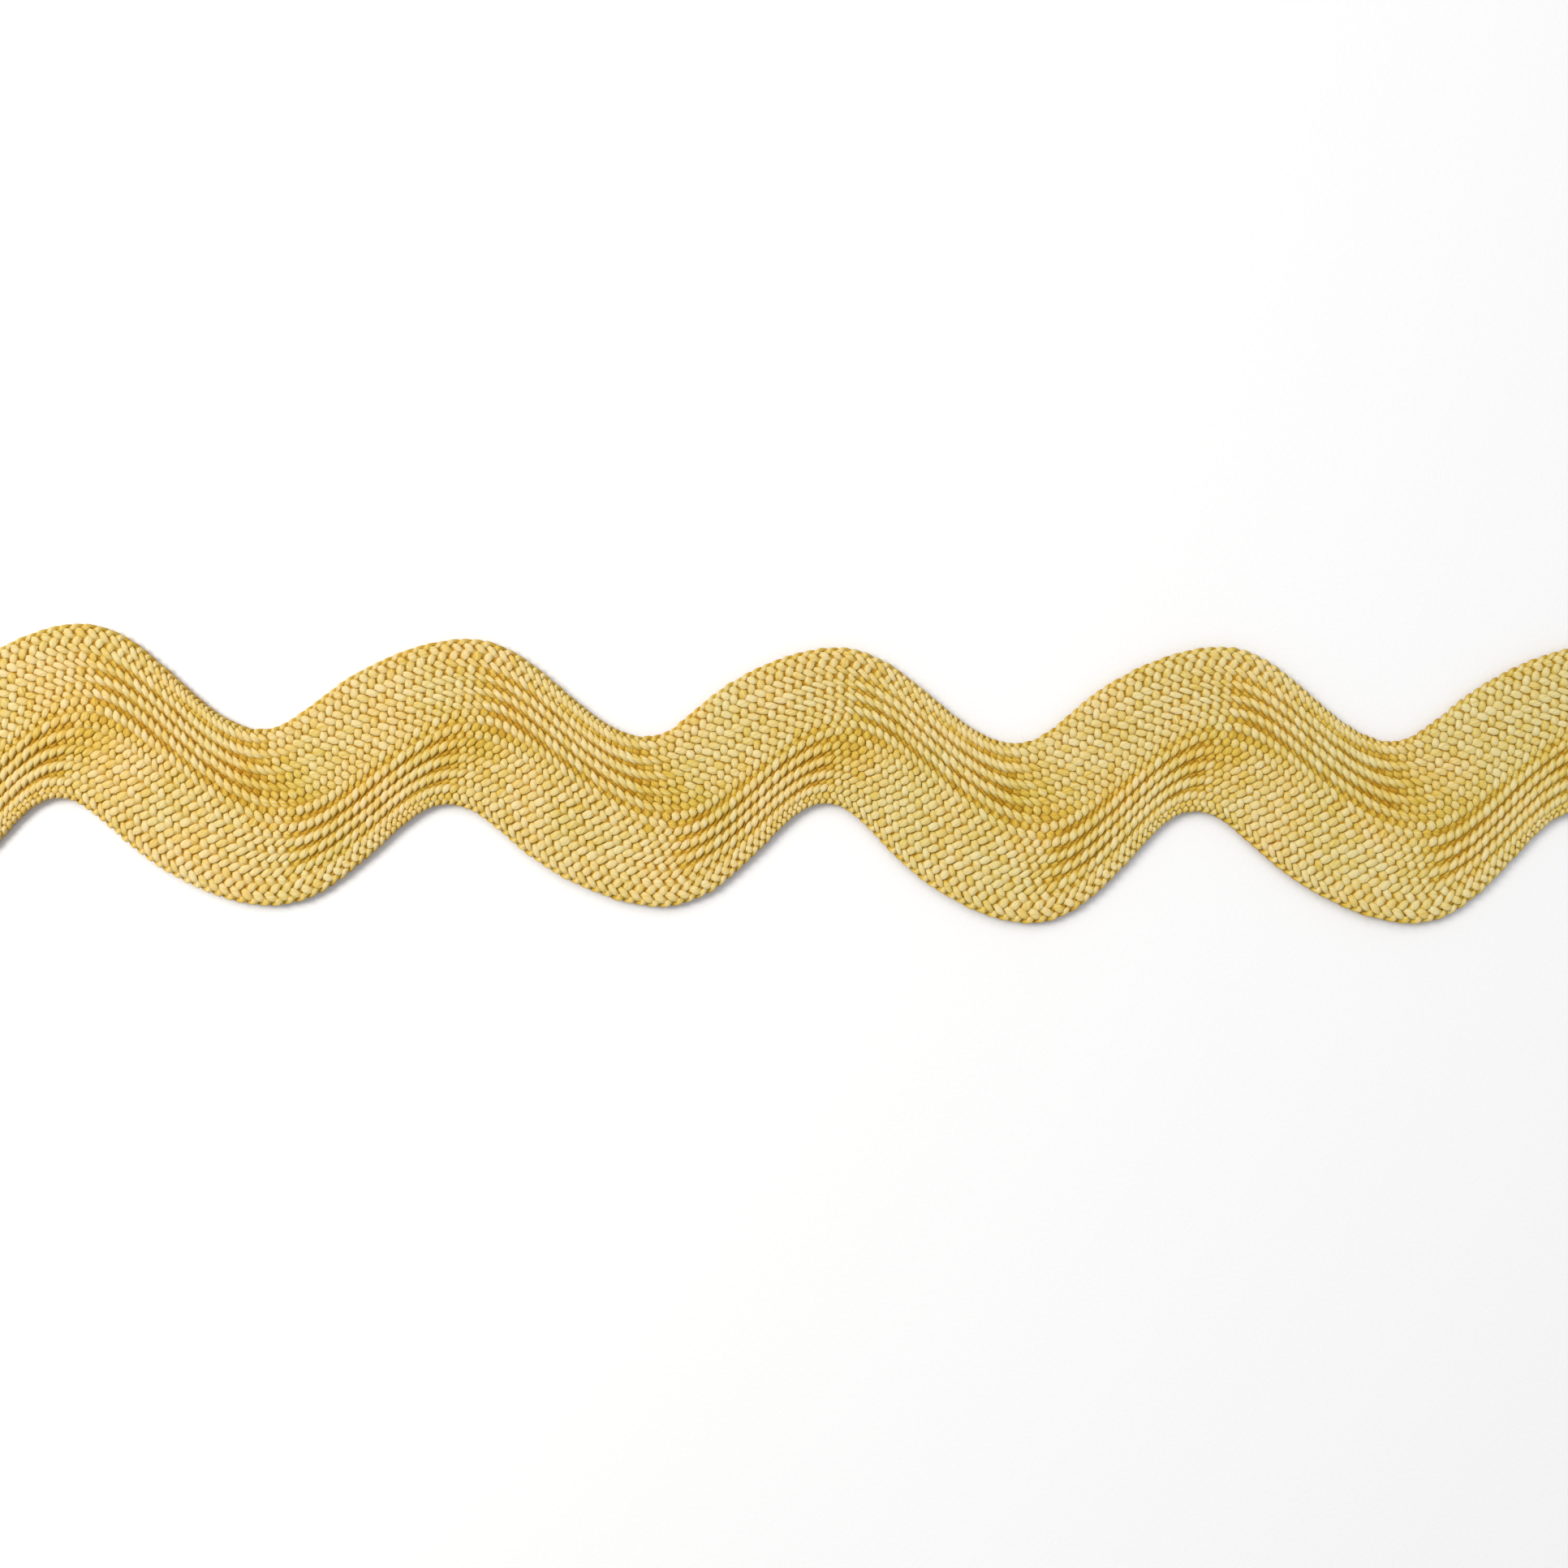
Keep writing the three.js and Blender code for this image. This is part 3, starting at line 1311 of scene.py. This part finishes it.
@dataclass
class Studio:
    """A white surface, soft light from the upper left and a camera straight above.

    The view and the face are in millimetres, and the floor, its grain, the window and the
    nearest distance that the camera sees in metres.
    """

    view_x: float = -4.92
    view_y: float = -1.04
    view_width: float = 144.1
    view_height_above_face: float = 150.0
    face_height: float = 1.2
    sensor: float = 36.0
    nearest: float = 0.005
    floor_half: float = 20.0
    floor_colour: Colour = (0.79, 0.8, 0.826, 1.0)
    floor_roughness: float = 0.6
    grain_scale: float = 2600.0
    grain_strength: float = 0.3
    grain_metres: float = 0.00006
    lamps: tuple[SoftLamp, ...] = (
        SoftLamp("top_light", (0.0, 0.4, 0.45), 0.3, 0.5, (1.0, 0.99, 0.98)),
        SoftLamp("warm_light", (-0.26, 0.08, 0.3), 0.15, 0.9, (1.0, 0.93, 0.8)),
    )
    window: Place = (-0.7, 0.9, 1.5)
    window_colour: tuple[float, float, float] = (1.0, 0.99, 0.97)
    window_strength: float = 0.99
    window_angle: float = math.radians(40)
    room_colour: Colour = (0.97, 0.98, 1.0, 1.0)
    room_strength: float = 0.58

    def white_surface(self) -> bpy.types.Material:
        """Make the matt white of the surface, with its fine grain.

        Returns:
            The material.
        """
        white = bpy.data.materials.new("white_surface")
        white.use_nodes = True
        nodes, links = white.node_tree.nodes, white.node_tree.links
        shader = nodes["Principled BSDF"]
        shader.inputs["Base Color"].default_value = self.floor_colour
        shader.inputs["Roughness"].default_value = self.floor_roughness
        grain = nodes.new("ShaderNodeTexNoise")
        grain.inputs["Scale"].default_value = self.grain_scale
        relief = nodes.new("ShaderNodeBump")
        relief.inputs["Strength"].default_value = self.grain_strength
        relief.inputs["Distance"].default_value = self.grain_metres
        place = nodes.new("ShaderNodeTexCoord")
        links.new(place.outputs["Object"], grain.inputs["Vector"])
        links.new(grain.outputs[0], relief.inputs["Height"])
        links.new(relief.outputs["Normal"], shader.inputs["Normal"])
        return white

    def floor(self) -> None:
        """Lay the white surface."""
        form = bmesh.new()
        bmesh.ops.create_grid(form, x_segments=1, y_segments=1, size=self.floor_half)
        mesh = bpy.data.meshes.new("floor")
        form.to_mesh(mesh)
        form.free()
        surface = mesh_object("floor", mesh)
        mesh.materials.append(self.white_surface())

    def lights(self) -> None:
        """Set the lamps, a wide window at the upper left and an even fill from all round."""
        for lamp in self.lamps:
            lamp.hang()
        daylight = bpy.data.lights.new("window_light", "SUN")
        daylight.energy = self.window_strength
        daylight.angle = self.window_angle
        daylight.color = self.window_colour
        hang_light(daylight, self.window)
        world = bpy.data.worlds.new("soft_room")
        world.use_nodes = True
        fill = world.node_tree.nodes["Background"]
        fill.inputs["Color"].default_value = self.room_colour
        fill.inputs["Strength"].default_value = self.room_strength
        bpy.context.scene.world = world

    def camera(self) -> None:
        """Hang the camera straight above the braid."""
        lens = bpy.data.cameras.new("camera")
        lens.sensor_width = self.sensor
        lens.lens = self.sensor * self.view_height_above_face / self.view_width
        lens.clip_start = self.nearest
        holder = bpy.data.objects.new("camera", lens)
        height = self.face_height + self.view_height_above_face
        holder.location = [v * METRES_PER_MM for v in (self.view_x, self.view_y, height)]
        bpy.context.scene.collection.objects.link(holder)
        bpy.context.scene.camera = holder

    def build(self) -> None:
        """Set up the surface, the lights and the camera."""
        self.floor()
        self.lights()
        self.camera()
        bpy.context.scene.view_settings.view_transform = "Standard"


def main() -> None:
    """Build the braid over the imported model."""
    logging.basicConfig(level=logging.INFO, format="%(name)s: %(message)s")
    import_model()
    Studio().build()
    Braid().build()


if __name__ == "__main__":
    main()
